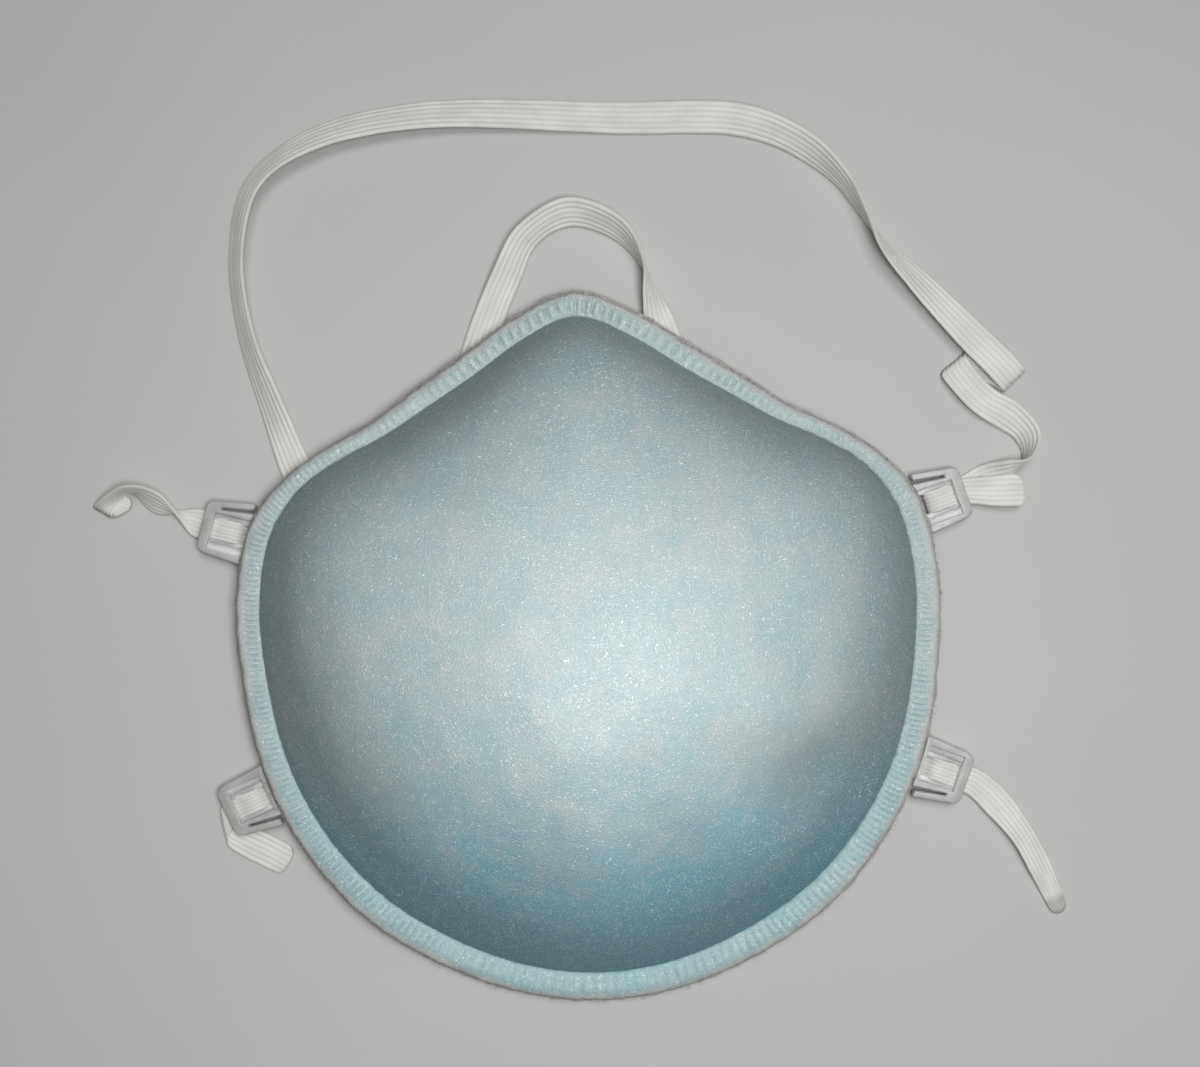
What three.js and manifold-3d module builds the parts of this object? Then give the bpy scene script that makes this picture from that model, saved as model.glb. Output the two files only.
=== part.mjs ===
// Disposable cup respirator, lying on a surface with its dome up and its two elastic straps loose.
// Millimetres, +Z up, +Y towards the nose, +X towards the right as seen from the front.
// The origin is on the surface, under the middle of the rim and its buckles.

import * as THREE from 'three';
import { ParametricGeometry } from 'three/addons/geometries/ParametricGeometry.js';
import { mergeVertices } from 'three/addons/utils/BufferGeometryUtils.js';
import Module from 'manifold-3d';

const wasm = await Module();
wasm.setup();

// ---- driving dimensions -------------------------------------------------------------------

const CUP_HEIGHT = 50;        // top of the dome above the surface
const CUP_WALL = 2;           // thickness of the moulded fabric
const APEX_Y = -8;            // the top of the dome lies a little towards the chin
const APEX_ROUND = 0.22;      // how far the rounding of the top reaches, as a share of the way down
const BELLY = [59, 60];       // half axes of the oval that the dome's contours tend to above the rim
const BELLY_REACH = 0.3;      // share of the way down where the contours start to take the rim's outline
const RIM_LIFT = 3;           // the rim rides this high on its buckles and straps
const CHIN_DIP = [134, 158];  // bearings between which the rim comes down to the surface

const FLANGE_INSET = 2.6;     // edge of the moulded flange, in from the rim's outer edge
const FLANGE_BOTTOM = 1.5;    // above the underside of the rim
const FLANGE_TOP = 3.0;

const STRAP_THICKNESS = 0.8;
const STRAP_EDGE = 0.3;       // width of the rounded edge of a strap
const STRAP_STEP = 4.5;       // longest step along a strap

const RIM_SEGMENTS = 108;
const SHELL_SEGMENTS = 84;
const DOME_STEPS = 12;
const LINING_STEPS = 10;

// Outer edge of the rim. The nose is at bearing 0, the chin at 180, and both sides are alike.
// [bearing, radius, width of the ribbed band]
const OUTLINE = [
  [0, 66.0, 4.6],
  [10, 62.9, 4.8],
  [20, 59.4, 4.7],
  [32, 57.8, 4.2],
  [42, 58.3, 3.7],
  [50, 61.1, 3.5],
  [58, 64.5, 3.7],
  [66, 66.8, 4.3],
  [78, 66.4, 4.7],
  [92, 64.8, 4.8],
  [115, 64.9, 5.2],
  [145, 65.4, 5.6],
  [180, 66.2, 5.5],
];

// Slope of the dome from its top down to the rim: height falls as (1 - u^crown)^wall, with u = 0
// at the top.
// [bearing, crown, wall]
const DOME = [
  [0, 1.5, 0.56],
  [45, 1.65, 0.55],
  [90, 1.9, 0.72],
  [140, 1.6, 0.8],
  [180, 1.5, 0.8],
];

// Soft dents and ridges of the dome: [x, y, height, spread in x, spread in y]
const RELIEF = [
  [38, -26, -3.0, 10, 9],     // dent low on the right
  [-40, -26, -1.6, 12, 12],   // shallow dent low on the left
  [0, -38, 1.6, 9, 18],       // ridge down to the chin
  [24, 37, -1.4, 10, 9],      // hollows beside the nose
  [-24, 37, -1.4, 10, 9],
];

// Sections of the rim's soft parts: [share of the band's width, inset, height]
const BAND_SECTION = [
  [0, 0.9, 1.5],
  [0, 2.3, 1.5],
  [0, 2.3, 3.3],
  [1, -0.4, 3.3],
  [1, -0.4, 4.2],
  [1, -1.0, 5.0],
  [0.5, 0.2, 5.4],
  [0, 1.9, 5.1],
  [0, 1.0, 4.3],
  [0, 0.7, 2.7],
];
const UNDER_RIM = [           // what the rim keeps clear of a buckle, which is left a thin tab under it
  [0, -0.35, -0.4],
  [0, 14, -0.4],
  [0, 14, 3],
  [0, -0.35, 3],
];
const SEAL_SECTION = [
  [0, 0.3, 0.0],
  [0, 8.2, 0.0],
  [0, 8.5, 0.6],
  [0, 8.2, 1.2],
  [0, 0.5, 1.2],
  [0, 0.0, 0.6],
];

// Strap buckles, each set by the middle of its outer edge.
// [name, x, y, outward heading, side of the free arm]
const BUCKLES = [
  ['buckle_upper_left', -71.1, 26.0, 163, -1],
  ['buckle_upper_right', 71.1, 26.0, 17, 1],
  ['buckle_lower_left', -69.0, -28.0, 202, 1],
  ['buckle_lower_right', 69.0, -28.0, -22, -1],
];
const BUCKLE_BOTTOM = 1.25;   // the plate is this far above the surface, so a strap runs under it
const BUCKLE_TOP = 3.6;
const BUCKLE_BEVEL = 0.25;
const WINDOW_HALF = 2.75;     // half the width of both slots

// What is cut from a buckle's plate: [x from, x to, y from, y to, z from, z to]
const BUCKLE_CUTS = [
  [-8.6, -1.8, -4.0, 2.9, 2.7, 5],                          // recess inside the raised border
  [-8.5, -1.9, -WINDOW_HALF, WINDOW_HALF, 2.1, 5],          // room for the strap over the bar
  [-4.3, -1.9, -WINDOW_HALF, WINDOW_HALF, 0, 5],            // outer slot
  [-8.5, -6.1, -WINDOW_HALF, WINDOW_HALF, 0, 5],            // inner slot
  [-2.1, 1, -3.2, 3.2, 0, 2.5],                             // way out under the outer bar
];
const BUCKLE_FOOT = [-8.4, -1.2, -5.2, -3.6, 0, 1.6];       // rail that the buckle stands on

// ---- straps -------------------------------------------------------------------------------
// A strap is a flat band that follows its centre line. Each row gives the line and the band's
// cross line: [x, y, z, heading of the cross line, its slope, width]

// The way over a buckle's crossbar, in the buckle's own frame: [x, z, width]
const THREADING = [
  [1.8, 0.95, 5.4],
  [-0.9, 1.5, 4.8],
  [-4.7, 2.85, 4.2],
  [-6.4, 2.75, 4.2],
  [-7.3, 1.65, 4.3],
  [-8.3, 0.72, 4.6],
];
// The same where the strap comes in along the surface and turns back round the crossbar
const RETURNING = [
  [-0.5, 0.55, 5.0],
  [-6.4, 0.55, 4.6],
  [-7.5, 1.68, 4.4],
  [-5.8, 2.85, 4.2],
  [-4.3, 2.75, 4.2],
  [-0.9, 1.55, 4.8],
];

const UPPER_STRAP = [
  [-84.8, 31.2, 0.55, 114, 0, 3.4],      // hem of the left tail, turned under
  [-90.0, 29.3, 1.0, 148, 0, 4.0],
  [-84.7, 33.2, 3.1, 90, 80, 5.8],       // the tail stands on its edge
  [-79.2, 30.3, 2.6, 58, 48, 6.0],
  ...threadBuckle('buckle_upper_left', THREADING, 253),
  [-56.0, 21.4, 0.7, 73, 5, 6.0],
  [-51.8, 20.6, 2.6, 80, 50, 6.0],       // turn inside the cup
  [-48.8, 22.4, 3.2, -42, 88, 6.0],
  [-48.9, 25.8, 2.4, 15, 38, 6.0],
  [-50.5, 29.0, 0.9, 22, 6, 6.0],
  [-53.6, 35.7, 0.6, 23, 0, 6.0],        // out under the rim
  [-57.4, 47.6, 2.1, 17, 35, 6.0],       // big loop
  [-61.4, 61.0, 2.7, 9, 53, 6.0],
  [-62.6, 76.0, 2.7, -6, 55, 6.0],
  [-59.0, 89.0, 2.5, -28, 48, 6.0],
  [-48.5, 96.5, 2.2, -66, 38, 6.0],
  [-28.0, 100.6, 1.6, -86, 24, 6.0],
  [10.1, 98.7, 0.6, -93, 0, 6.0],
  [33.0, 97.0, 1.4, -101, -18, 6.0],
  [43.6, 92.0, 2.3, -124, -42, 6.0],
  [50.8, 85.1, 2.9, -137, -68, 6.0],
  [54.6, 78.3, 3.15, -150, -88, 6.0],    // half a twist, on its edge
  [58.1, 72.2, 2.9, 35, -62, 6.0],
  [64.0, 65.7, 2.2, 42, -35, 6.0],
  [73.5, 54.9, 2.5, 39, -6, 6.0],
  [78.9, 48.9, 2.95, 38, 0, 6.0],        // top layer of the fold
  [81.4, 46.1, 1.75, 42, 0, 5.9],
  [79.2, 47.8, 0.6, 48, 0, 6.0],
  [73.7, 49.5, 0.55, 44, 0, 6.0],        // bottom layer
  [70.4, 49.8, 1.15, 36, 0, 6.0],
  [72.2, 46.4, 1.75, 42, 0, 5.8],
  [75.8, 42.5, 1.4, 49, 0, 5.8],         // middle layer
  [80.6, 39.2, 1.5, 45, 20, 6.0],
  [83.4, 35.5, 2.5, 15, 48, 6.0],
  [82.9, 31.4, 3.15, -30, 88, 6.0],      // last bend, on its edge
  [79.6, 29.2, 2.4, 112, 44, 5.8],
  [75.4, 28.0, 0.75, 108, 5, 5.4],
  ...threadBuckle('buckle_upper_right', RETURNING, 107),
  [77.2, 25.6, 2.3, 96, 0, 5.8],         // right tail, over the strap
  [82.4, 25.6, 2.7, 94, 0, 6.0],
];

const LOWER_STRAP = [
  [85.9, -53.9, 0.7, -158, 0, 3.4],      // right tail
  [84.1, -49.3, 0.6, -158, 0, 3.8],
  [82.0, -44.4, 1.1, -155, 15, 4.6],
  [79.1, -38.6, 1.3, -148, 20, 5.0],
  [74.9, -32.8, 0.9, -136, 8, 5.6],
  ...threadBuckle('buckle_lower_right', THREADING, -112),
  [54.0, -21.0, 0.6, -116, 0, 5.8],      // inside the cup
  [44.0, -13.0, 0.6, -136, 0, 6.0],
  [31.5, 11.0, 0.6, -157, 0, 6.0],
  [21.5, 38.0, 0.6, -162, 0, 6.0],
  [15.8, 59.5, 0.9, -164, 7, 6.0],       // out under the rim
  [14.3, 65.6, 2.7, -168, 58, 6.0],
  [13.0, 71.0, 3.15, 14, 88, 6.0],       // half a twist, on its edge
  [8.9, 77.4, 2.7, 53, 55, 6.0],
  [-0.3, 81.2, 2.1, 91, 35, 6.0],
  [-8.2, 77.2, 2.3, 133, 38, 6.0],
  [-12.4, 69.9, 1.9, 153, 28, 6.0],
  [-17.2, 59.6, 0.7, 160, 4, 6.0],       // in under the rim
  [-24.5, 38.0, 0.6, 161, 0, 6.0],
  [-33.5, 11.0, 0.6, 157, 0, 6.0],
  [-44.5, -13.0, 0.6, 137, 0, 6.0],
  [-54.0, -21.5, 0.6, 118, 0, 5.8],
  ...threadBuckle('buckle_lower_left', [...THREADING].reverse(), 112).slice(0, -1),
  [-69.9, -30.8, 1.05, 97, 0, 5.6],      // the tail turns under
  [-65.9, -33.6, 0.55, 62, 0, 5.8],
  [-61.5, -36.0, 0.55, 60, 0, 6.0],
  [-58.1, -38.0, 0.6, 58, 0, 5.8],
];

function threadBuckle(name, way, crossHeading) {
  const [, x0, y0, heading] = BUCKLES.find((row) => row[0] === name);
  const out = new THREE.Vector2(1, 0).rotateAround(new THREE.Vector2(), heading * THREE.MathUtils.DEG2RAD);
  return way.map(([x, z, width]) => [x0 + x * out.x, y0 + x * out.y, z, crossHeading, 0, width]);
}

// ---- helpers ------------------------------------------------------------------------------

const radians = (degrees) => degrees * THREE.MathUtils.DEG2RAD;

// Slope at the middle of three points on a curve whose knots are unevenly spaced.
function middleSlope(before, here, after, stepIn, stepOut) {
  return (here - before) / stepIn - (after - before) / (stepIn + stepOut) + (after - here) / stepOut;
}

// Cubic between two values with given end slopes; the slopes are per unit of the step.
function hermite(a, b, slopeA, slopeB, step, t) {
  const m0 = slopeA * step;
  const m1 = slopeB * step;
  const c2 = 3 * (b - a) - 2 * m0 - m1;
  const c3 = 2 * (a - b) + m0 + m1;
  return a + t * (m0 + t * (c2 + t * c3));
}

// One column of a table at a bearing; the table is level at its first and last row.
function column(table, bearing, index) {
  const at = Math.abs(((bearing + 540) % 360) - 180);
  let i = table.findIndex((row) => row[0] >= at);
  i = Math.max(i, 1);
  const slope = (k) => {
    if (k === 0 || k === table.length - 1) return 0;
    const [before, here, after] = [table[k - 1], table[k], table[k + 1]];
    return middleSlope(before[index], here[index], after[index], here[0] - before[0], after[0] - here[0]);
  };
  const step = table[i][0] - table[i - 1][0];
  const t = (at - table[i - 1][0]) / step;
  return hermite(table[i - 1][index], table[i][index], slope(i - 1), slope(i), step, t);
}

const rimRadius = (bearing) => column(OUTLINE, bearing, 1);
const bandWidth = (bearing) => column(OUTLINE, bearing, 2);

function rimBottom(bearing) {
  const away = Math.abs(((bearing + 540) % 360) - 180);
  return RIM_LIFT * (1 - THREE.MathUtils.smoothstep(away, CHIN_DIP[0], CHIN_DIP[1]));
}

function rimPoint(bearing, inset, height) {
  const radius = rimRadius(bearing) - inset;
  const angle = radians(bearing);
  return new THREE.Vector3(radius * Math.sin(angle), radius * Math.cos(angle), rimBottom(bearing) + height);
}

// A closed skin from a grid of points: seams are merged and triangles that fall together go.
function closedSkin(pointAt, around, along) {
  const grid = new ParametricGeometry((u, v, target) => {
    target.copy(pointAt(Math.round(u * around) % around, Math.round(v * along)));
  }, around, along);
  grid.deleteAttribute('normal');
  grid.deleteAttribute('uv');
  const merged = mergeVertices(grid, 1e-4);
  const index = merged.index.array;
  const kept = [];
  for (let i = 0; i < index.length; i += 3) {
    const [a, b, c] = index.slice(i, i + 3);
    if (a !== b && b !== c && c !== a) kept.push(a, b, c);
  }
  merged.setIndex(kept);
  return facingOut(merged);
}

// Turns every triangle round if the surface encloses a negative volume.
function facingOut(geometry) {
  const position = geometry.attributes.position;
  const index = geometry.index.array;
  const corner = [0, 1, 2].map(() => new THREE.Vector3());
  let volume = 0;
  for (let i = 0; i < index.length; i += 3) {
    corner.forEach((p, k) => p.fromBufferAttribute(position, index[i + k]));
    volume += corner[0].dot(corner[1].clone().cross(corner[2])) / 6;
  }
  if (volume < 0) geometry.setIndex(Array.from(index).reverse());
  return geometry;
}

function toManifold(geometry) {
  const bare = geometry.clone();
  bare.deleteAttribute('normal');
  bare.deleteAttribute('uv');
  const merged = mergeVertices(bare, 1e-4);
  return new wasm.Manifold(new wasm.Mesh({
    numProp: 3,
    vertProperties: new Float32Array(merged.attributes.position.array),
    triVerts: new Uint32Array(merged.index.array),
  }));
}

function fromManifold(solid) {
  const mesh = solid.getMesh();
  const geometry = new THREE.BufferGeometry();
  geometry.setAttribute('position', new THREE.BufferAttribute(new Float32Array(mesh.vertProperties), 3));
  geometry.setIndex(new THREE.BufferAttribute(new Uint32Array(mesh.triVerts), 1));
  return geometry;
}

function block([x0, x1, y0, y1, z0, z1], side) {
  const box = new THREE.BoxGeometry(x1 - x0, y1 - y0, z1 - z0);
  box.translate((x0 + x1) / 2, side * (y0 + y1) / 2, (z0 + z1) / 2);
  return toManifold(box);
}

// ---- moulded shell ------------------------------------------------------------------------

function relief(x, y) {
  let height = 0;
  for (const [cx, cy, rise, spreadX, spreadY] of RELIEF) {
    height += rise * Math.exp(-(((x - cx) / spreadX) ** 2) - ((y - cy) / spreadY) ** 2);
  }
  return height;
}

// u to a power, but rounded at the top of the dome, and still 0 at 0 and 1 at 1.
function roundedPower(u, power) {
  const at = (v) => Math.hypot(v, APEX_ROUND) ** power - APEX_ROUND ** power;
  return at(u) / at(1);
}

// A point of the dome or its lining. u runs from 0 at the top to 1 where the dome meets the flange.
function domePoint(bearing, u, inset, footHeight, topHeight) {
  const foot = rimPoint(bearing, bandWidth(bearing) + inset, footHeight);
  const likeRim = THREE.MathUtils.smoothstep(u, BELLY_REACH, 1);
  const ovalX = (BELLY[0] - inset) * Math.sin(radians(bearing));
  const ovalY = (BELLY[1] - inset) * Math.cos(radians(bearing));
  const x = u * THREE.MathUtils.lerp(ovalX, foot.x, likeRim);
  const y = APEX_Y + u * (THREE.MathUtils.lerp(ovalY, foot.y, likeRim) - APEX_Y);
  const fall = (1 - roundedPower(u, column(DOME, bearing, 1))) ** column(DOME, bearing, 2);
  const z = foot.z + (topHeight - foot.z) * fall + relief(x, y) * (1 - u ** 6);
  return new THREE.Vector3(x, y, z);
}

function shellGeometry() {
  const towardsRim = (step, steps) => 1 - (1 - step / steps) ** 1.5;
  const stations = [];
  for (let i = 0; i <= DOME_STEPS; i++) {
    const u = towardsRim(i, DOME_STEPS);
    stations.push((bearing) => domePoint(bearing, u, 0, FLANGE_TOP, CUP_HEIGHT));
  }
  stations.push((bearing) => rimPoint(bearing, FLANGE_INSET, FLANGE_TOP));
  stations.push((bearing) => rimPoint(bearing, FLANGE_INSET, FLANGE_BOTTOM));
  for (let i = LINING_STEPS; i >= 0; i--) {
    const u = towardsRim(i, LINING_STEPS);
    stations.push((bearing) => domePoint(bearing, u, CUP_WALL, FLANGE_BOTTOM, CUP_HEIGHT - CUP_WALL));
  }
  const pointAt = (i, k) => stations[k]((i * 360) / SHELL_SEGMENTS);
  return closedSkin(pointAt, SHELL_SEGMENTS, stations.length - 1);
}

// ---- rim ----------------------------------------------------------------------------------

function rimGeometry(section) {
  const pointAt = (i, k) => {
    const bearing = (i * 360) / RIM_SEGMENTS;
    const [share, inset, height] = section[k % section.length];
    return rimPoint(bearing, share * bandWidth(bearing) + inset, height);
  };
  return closedSkin(pointAt, RIM_SEGMENTS, section.length);
}

// ---- buckles ------------------------------------------------------------------------------

// Plan of a buckle with its outer edge on x = 0 and its free arm towards +y.
function bucklePlan(side) {
  const plan = new THREE.Shape();
  const line = (x, y) => plan.lineTo(x, side * y);
  const bend = (cx, cy, x, y) => plan.quadraticCurveTo(cx, side * cy, x, side * y);
  plan.moveTo(0, side * -3.2);
  line(0, 3.2);
  bend(0, 4.8, -1.7, 5.0);
  line(-8.3, 6.2);
  bend(-9.2, 6.2, -8.6, 4.9);
  line(-2.9, 3.95);
  line(-2.9, 3.55);
  line(-9.4, 4.4);
  line(-12.2, 4.2);
  line(-12.6, 3.8);
  line(-12.6, -4.4);
  line(-12.2, -4.8);
  line(-9.4, -5.6);
  line(-1.7, -5.0);
  bend(0, -4.8, 0, -3.2);
  return plan;
}

function buckleGeometry(x, y, heading, side) {
  const plate = new THREE.ExtrudeGeometry(bucklePlan(side), {
    depth: BUCKLE_TOP - BUCKLE_BOTTOM - 2 * BUCKLE_BEVEL,
    bevelThickness: BUCKLE_BEVEL,
    bevelSize: BUCKLE_BEVEL,
    bevelOffset: -BUCKLE_BEVEL,
    bevelSegments: 1,
    curveSegments: 4,
  });
  plate.translate(0, 0, BUCKLE_BOTTOM + BUCKLE_BEVEL);
  let solid = toManifold(plate);
  for (const cut of BUCKLE_CUTS) solid = solid.subtract(block(cut, side));
  const rim = rimGeometry(UNDER_RIM).translate(-x, -y, 0).rotateZ(-radians(heading));
  solid = solid.subtract(toManifold(rim));
  return fromManifold(solid.add(block(BUCKLE_FOOT, side)));
}

// ---- straps, swept ------------------------------------------------------------------------

// Centre and half cross line of a strap at every row, as one list of six numbers.
function strapKnots(rows) {
  return rows.map(([x, y, z, heading, slope, width]) => {
    const flat = (Math.cos(radians(slope)) * width) / 2;
    const rise = (Math.sin(radians(slope)) * width) / 2;
    return [x, y, z, flat * Math.cos(radians(heading)), flat * Math.sin(radians(heading)), rise];
  });
}

// Smooth stations through the knots, spaced by the root of the distance so that tight folds stay tight.
function strapStations(rows) {
  const knots = strapKnots(rows);
  const last = knots.length - 1;
  const gap = (a, b) => Math.hypot(a[0] - b[0], a[1] - b[1], a[2] - b[2]);
  const steps = knots.slice(1).map((knot, i) => Math.sqrt(gap(knot, knots[i])));
  const slope = (k, c) => {
    if (k === 0) return (knots[1][c] - knots[0][c]) / steps[0];
    if (k === last) return (knots[last][c] - knots[last - 1][c]) / steps[last - 1];
    return middleSlope(knots[k - 1][c], knots[k][c], knots[k + 1][c], steps[k - 1], steps[k]);
  };
  const stations = [knots[0]];
  for (let i = 0; i < last; i++) {
    const parts = Math.max(1, Math.ceil(gap(knots[i], knots[i + 1]) / STRAP_STEP));
    for (let j = 1; j <= parts; j++) {
      const at = (c) => hermite(knots[i][c], knots[i + 1][c], slope(i, c), slope(i + 1, c), steps[i], j / parts);
      stations.push([0, 1, 2, 3, 4, 5].map(at));
    }
  }
  return stations;
}

function strapGeometry(rows) {
  const stations = strapStations(rows);
  const last = stations.length - 1;
  const centres = stations.map((s) => new THREE.Vector3(s[0], s[1], s[2]));
  const sections = stations.map((s, i) => {
    const half = new THREE.Vector3(s[3], s[4], s[5]);
    const along = centres[Math.min(i + 1, last)].clone().sub(centres[Math.max(i - 1, 0)]);
    const face = along.cross(half).setLength(STRAP_THICKNESS / 2);
    const inner = half.clone().multiplyScalar(1 - STRAP_EDGE / half.length());
    return [
      centres[i].clone().add(half),
      centres[i].clone().add(inner).add(face),
      centres[i].clone().sub(inner).add(face),
      centres[i].clone().sub(half),
      centres[i].clone().sub(inner).sub(face),
      centres[i].clone().add(inner).sub(face),
    ];
  });
  const pointAt = (i, k) => {
    if (k === 0) return centres[0];
    if (k === last + 2) return centres[last];
    return sections[k - 1][i];
  };
  return closedSkin(pointAt, 6, last + 2);
}

// ---- materials and assembly ---------------------------------------------------------------

const shellFabric = new THREE.MeshStandardMaterial({ color: 0xa9d3dc, roughness: 0.75, metalness: 0 });
const bandFabric = new THREE.MeshStandardMaterial({ color: 0xb9e2e6, roughness: 0.85, metalness: 0 });
const sealFabric = new THREE.MeshStandardMaterial({ color: 0xefefea, roughness: 0.95, metalness: 0 });
const milkyPlastic = new THREE.MeshStandardMaterial({ color: 0xd9dad2, roughness: 0.35, metalness: 0 });
const elastic = new THREE.MeshStandardMaterial({ color: 0xf1f0ea, roughness: 0.8, metalness: 0 });

function part(name, geometry, material) {
  const mesh = new THREE.Mesh(geometry, material);
  mesh.name = name;
  return mesh;
}

const respirator = new THREE.Group();
respirator.add(part('shell', shellGeometry(), shellFabric));
respirator.add(part('rim_band', rimGeometry(BAND_SECTION), bandFabric));
respirator.add(part('face_seal', rimGeometry(SEAL_SECTION), sealFabric));

for (const [name, x, y, heading, side] of BUCKLES) {
  const buckle = part(name, buckleGeometry(x, y, heading, side), milkyPlastic);
  buckle.position.set(x, y, 0);
  buckle.rotation.z = radians(heading);
  respirator.add(buckle);
}

respirator.add(part('upper_strap', strapGeometry(UPPER_STRAP), elastic));
respirator.add(part('lower_strap', strapGeometry(LOWER_STRAP), elastic));

export default respirator;
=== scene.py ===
import math
import random

import bmesh
import bpy
from mathutils import Matrix, Vector, noise


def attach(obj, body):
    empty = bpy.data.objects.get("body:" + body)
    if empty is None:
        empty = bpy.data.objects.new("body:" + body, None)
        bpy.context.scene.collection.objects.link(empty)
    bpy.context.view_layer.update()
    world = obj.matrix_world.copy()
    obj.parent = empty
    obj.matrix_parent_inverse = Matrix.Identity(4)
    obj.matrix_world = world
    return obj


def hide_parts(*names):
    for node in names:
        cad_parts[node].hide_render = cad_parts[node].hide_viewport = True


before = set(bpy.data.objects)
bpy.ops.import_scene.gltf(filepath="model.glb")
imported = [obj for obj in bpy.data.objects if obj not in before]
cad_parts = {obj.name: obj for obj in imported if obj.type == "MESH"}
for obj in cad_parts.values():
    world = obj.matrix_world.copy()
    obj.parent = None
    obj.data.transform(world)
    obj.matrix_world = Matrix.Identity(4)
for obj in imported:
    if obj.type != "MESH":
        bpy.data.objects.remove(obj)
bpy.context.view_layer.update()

bl_info = {
    "name": "Disposable respirator",
    "version": (1, 0, 0),
    "blender": (4, 5, 0),
    "location": "3D View > Sidebar > Respirator",
    "description": "Dresses the respirator: moulded fabric cup, ribbed rim, buckles and elastic straps",
    "category": "Object",
}

# Metres throughout. The origin is on the surface under the middle of the rim, +Y is towards the
# nose and +Z is up.

BODY = "root"
WELD = 2e-6
TURN = 2 * math.pi

# ---- shape of the rim ----

# Outer edge of the rim, alike on both sides: bearing from the nose, radius, width of the band
OUTLINE = (
    (0, 0.0660, 0.0046),
    (10, 0.0629, 0.0048),
    (20, 0.0594, 0.0047),
    (32, 0.0578, 0.0042),
    (42, 0.0583, 0.0037),
    (50, 0.0611, 0.0035),
    (58, 0.0645, 0.0037),
    (66, 0.0668, 0.0043),
    (78, 0.0664, 0.0047),
    (92, 0.0648, 0.0048),
    (115, 0.0649, 0.0052),
    (145, 0.0654, 0.0056),
    (180, 0.0662, 0.0055),
)
MEAN_BAND = 0.0048
RIM_LIFT = 0.003           # the rim rides this high on its buckles
CHIN_DIP = (134, 158)      # bearings between which it comes down to the surface
STEPS_PER_RIB = 8
STEPS_PER_DEGREE = 4
RIB_CROWDING = 0.35        # how much closer the ribs are at the sides than on average
SEAL_STEPS = 1440
FIBRE_SPOTS = 2880           # places round the rim where a loose fibre can stand
FIBRE_SEED = 7
FIBRE_RADII = (0.000028, 0.000012)

# Section of the band: distance in from the outline, where the band has its mean width; height
BAND_SECTION = (
    (0.00095, 0.00145),
    (0.00060, 0.00200),
    (0.00050, 0.00290),
    (0.00062, 0.00375),
    (0.00098, 0.00440),
    (0.00150, 0.00485),
    (0.00210, 0.00512),
    (0.00275, 0.00522),
    (0.00335, 0.00514),
    (0.00388, 0.00503),
    (0.00436, 0.00489),
    (0.00482, 0.00470),
    (0.00514, 0.00436),
    (0.00520, 0.00385),
    (0.00490, 0.00340),
    (0.00340, 0.00330),
    (0.00235, 0.00330),
    (0.00230, 0.00150),
)
# How strongly the ribs are pressed: bearing from the nose, positive to the right; strength
RIB_PRESSING = (
    (-180, 0.30),
    (-125, 0.70),
    (-75, 1.00),
    (-52, 0.40),
    (-35, 0.25),
    (-20, 0.85),
    (0, 1.00),
    (22, 0.80),
    (45, 0.45),
    (80, 0.60),
    (112, 0.75),
    (150, 0.40),
    (180, 0.30),
)
# Where the white edge of the band gives way to blue: bearing, share of the band's width
WHITE_EDGE = (
    (-180, 0.28),
    (-130, 0.32),
    (-85, 0.44),
    (-50, 0.30),
    (0, 0.30),
    (50, 0.34),
    (85, 0.42),
    (130, 0.28),
    (180, 0.28),
)
# Section of the seal: distance in from the outline; height
SEAL_SECTION = (
    (0.00045, 0.00006),
    (0.00012, 0.00022),
    (0.00000, 0.00050),
    (0.00004, 0.00085),
    (0.00025, 0.00112),
    (0.00060, 0.00122),
    (0.00150, 0.00124),
    (0.00300, 0.00123),
    (0.00560, 0.00121),
    (0.00800, 0.00114),
    (0.00845, 0.00075),
    (0.00835, 0.00025),
    (0.00790, 0.00004),
    (0.00500, 0.00000),
    (0.00200, 0.00000),
)

# ---- the straps' routes ----

# Middle of each buckle's outer edge, and its outward heading
BUCKLES = {
    "buckle_upper_left": (-0.0711, 0.0260, 163),
    "buckle_upper_right": (0.0711, 0.0260, 17),
    "buckle_lower_left": (-0.0690, -0.0280, 202),
    "buckle_lower_right": (0.0690, -0.0280, -22),
}

# The way over a buckle's crossbar, in the buckle's own frame: x, z, width
THREADING = (
    (0.0018, 0.00095, 0.0054),
    (-0.0009, 0.0015, 0.0048),
    (-0.0047, 0.00285, 0.0042),
    (-0.0064, 0.00275, 0.0042),
    (-0.0073, 0.00165, 0.0043),
    (-0.0083, 0.00072, 0.0046),
)
# The same where the strap comes in along the surface and turns back round the crossbar
RETURNING = (
    (-0.0005, 0.00055, 0.005),
    (-0.0064, 0.00055, 0.0046),
    (-0.0075, 0.00168, 0.0044),
    (-0.0058, 0.00285, 0.0042),
    (-0.0043, 0.00275, 0.0042),
    (-0.0009, 0.00155, 0.0048),
)


def thread_buckle(name, way, cross_heading):
    """Rows of a strap's route through one buckle."""
    x0, y0, heading = BUCKLES[name]
    out_x, out_y = math.cos(math.radians(heading)), math.sin(math.radians(heading))
    return [(x0 + x * out_x, y0 + x * out_y, z, cross_heading, 0, width) for x, z, width in way]


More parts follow.
